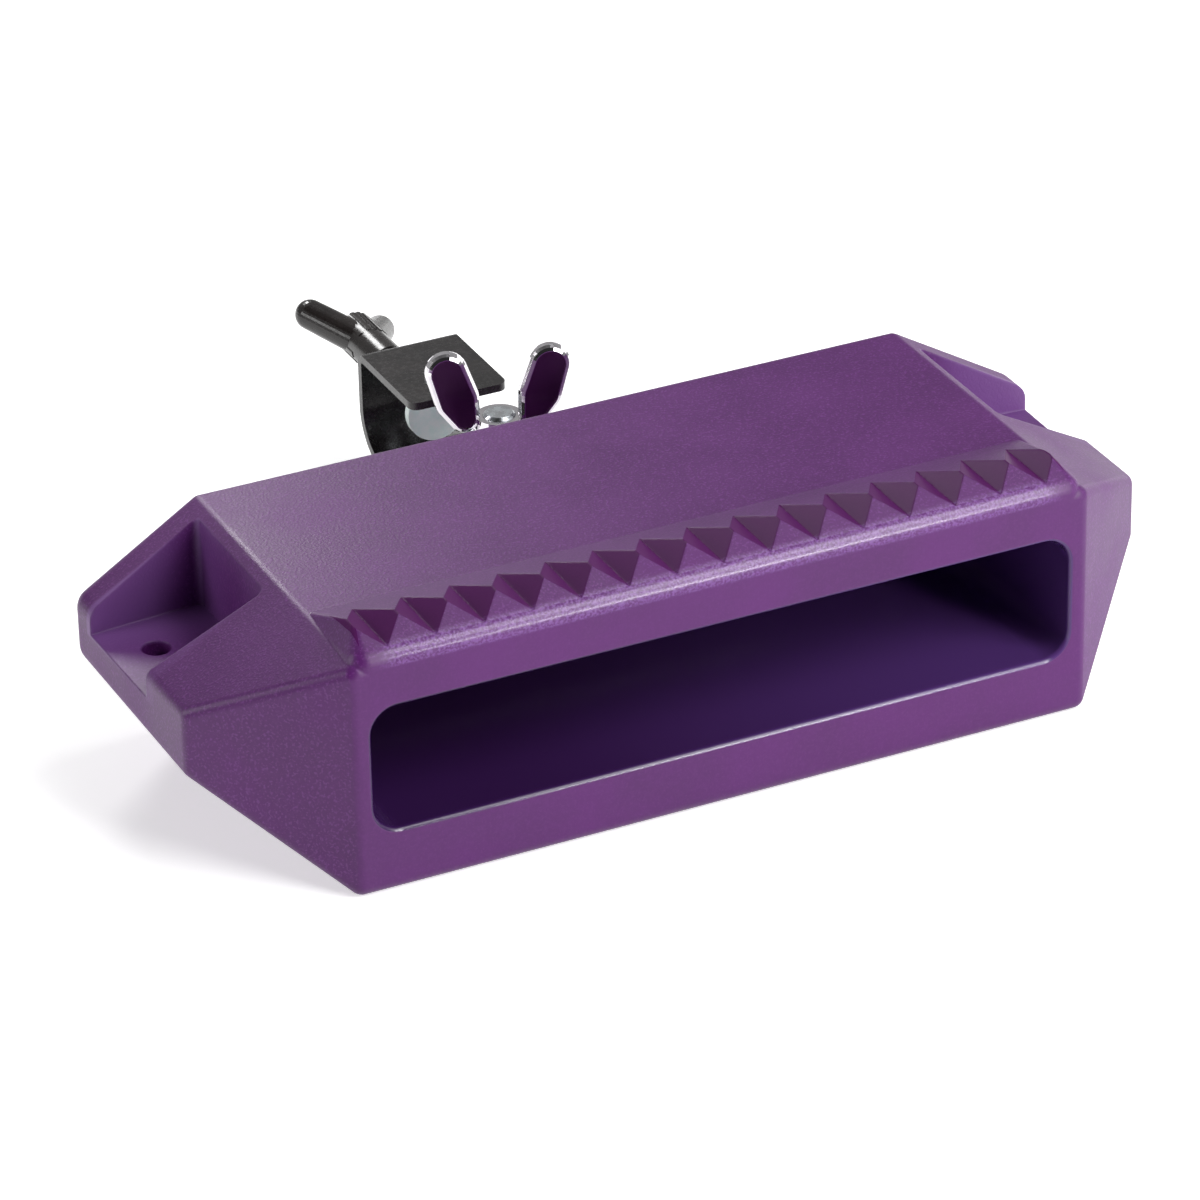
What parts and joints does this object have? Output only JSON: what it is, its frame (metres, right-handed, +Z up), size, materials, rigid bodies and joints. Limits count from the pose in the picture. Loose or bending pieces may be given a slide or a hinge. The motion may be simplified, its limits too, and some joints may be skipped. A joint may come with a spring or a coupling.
{
  "type": "woodblock",
  "caption": "Moulded percussion block with a slotted sounding chamber, a notched ridge, end mounting holes and a swivelling rod clamp behind.",
  "frame": {"origin": "middle of the block's flat base", "axes": "+X along the block, +Y from the struck front face to the clamp at the back, +Z up"},
  "size_m": [0.245, 0.2214, 0.0647],
  "materials": {
    "block_plastic": "violet, finely grained satin outside, glossy in the chamber",
    "steel": "plain turned steel",
    "black_enamel": "satin black enamel on steel",
    "zinc_plate": "bright zinc plate",
    "fibre": "dull dark fibre",
    "chrome": "polished chrome plate",
    "black_plastic": "satin black moulding",
    "pale_zinc": "pale greenish passivated zinc"
  },
  "bodies": {
    "block": {"block_body": "block_plastic", "lug_sleeve": "steel", "pivot_bolt": "zinc_plate", "friction_washer": "fibre", "flat_washer": "zinc_plate"},
    "bracket": {"clamp_bracket": "black_enamel", "weld_nut": "black_enamel"},
    "nut_seat": {"lock_washer": "zinc_plate"},
    "nut": {"wing_nut": "chrome"},
    "pad": {"pressure_pad": "pale_zinc"},
    "screw": {"clamp_screw": "zinc_plate", "wing_handle": "black_plastic"}
  },
  "joints": [
    {"name": "bracket_swivel", "type": "hinge", "parent": "block", "child": "bracket", "pos_m": [0, 0.076, 0.013], "axis": [0, 0, 1], "range_deg": [-90, 90]},
    {"name": "nut_lift", "type": "slide", "parent": "block", "child": "nut_seat", "axis": [0, 0, 1], "range_m": [0, 0.0025]},
    {"name": "nut_turn", "type": "hinge", "parent": "nut_seat", "child": "nut", "pos_m": [0, 0.076, 0.043], "axis": [0, 0, 1], "range_deg": [0, 720]},
    {"name": "pad_slide", "type": "slide", "parent": "bracket", "child": "pad", "axis": [0, -1, 0], "range_m": [-0.0119, 0.0037]},
    {"name": "screw_turn", "type": "hinge", "parent": "pad", "child": "screw", "pos_m": [0, 0.131, 0.0282], "axis": [0, -1, 0], "range_deg": [-3430, 1070]}
  ],
  "couplings": [
    {"joint": "nut_turn", "follows": "nut_lift", "rad_per_m": 5026.5},
    {"joint": "screw_turn", "follows": "pad_slide", "rad_per_m": 5026.5}
  ]
}
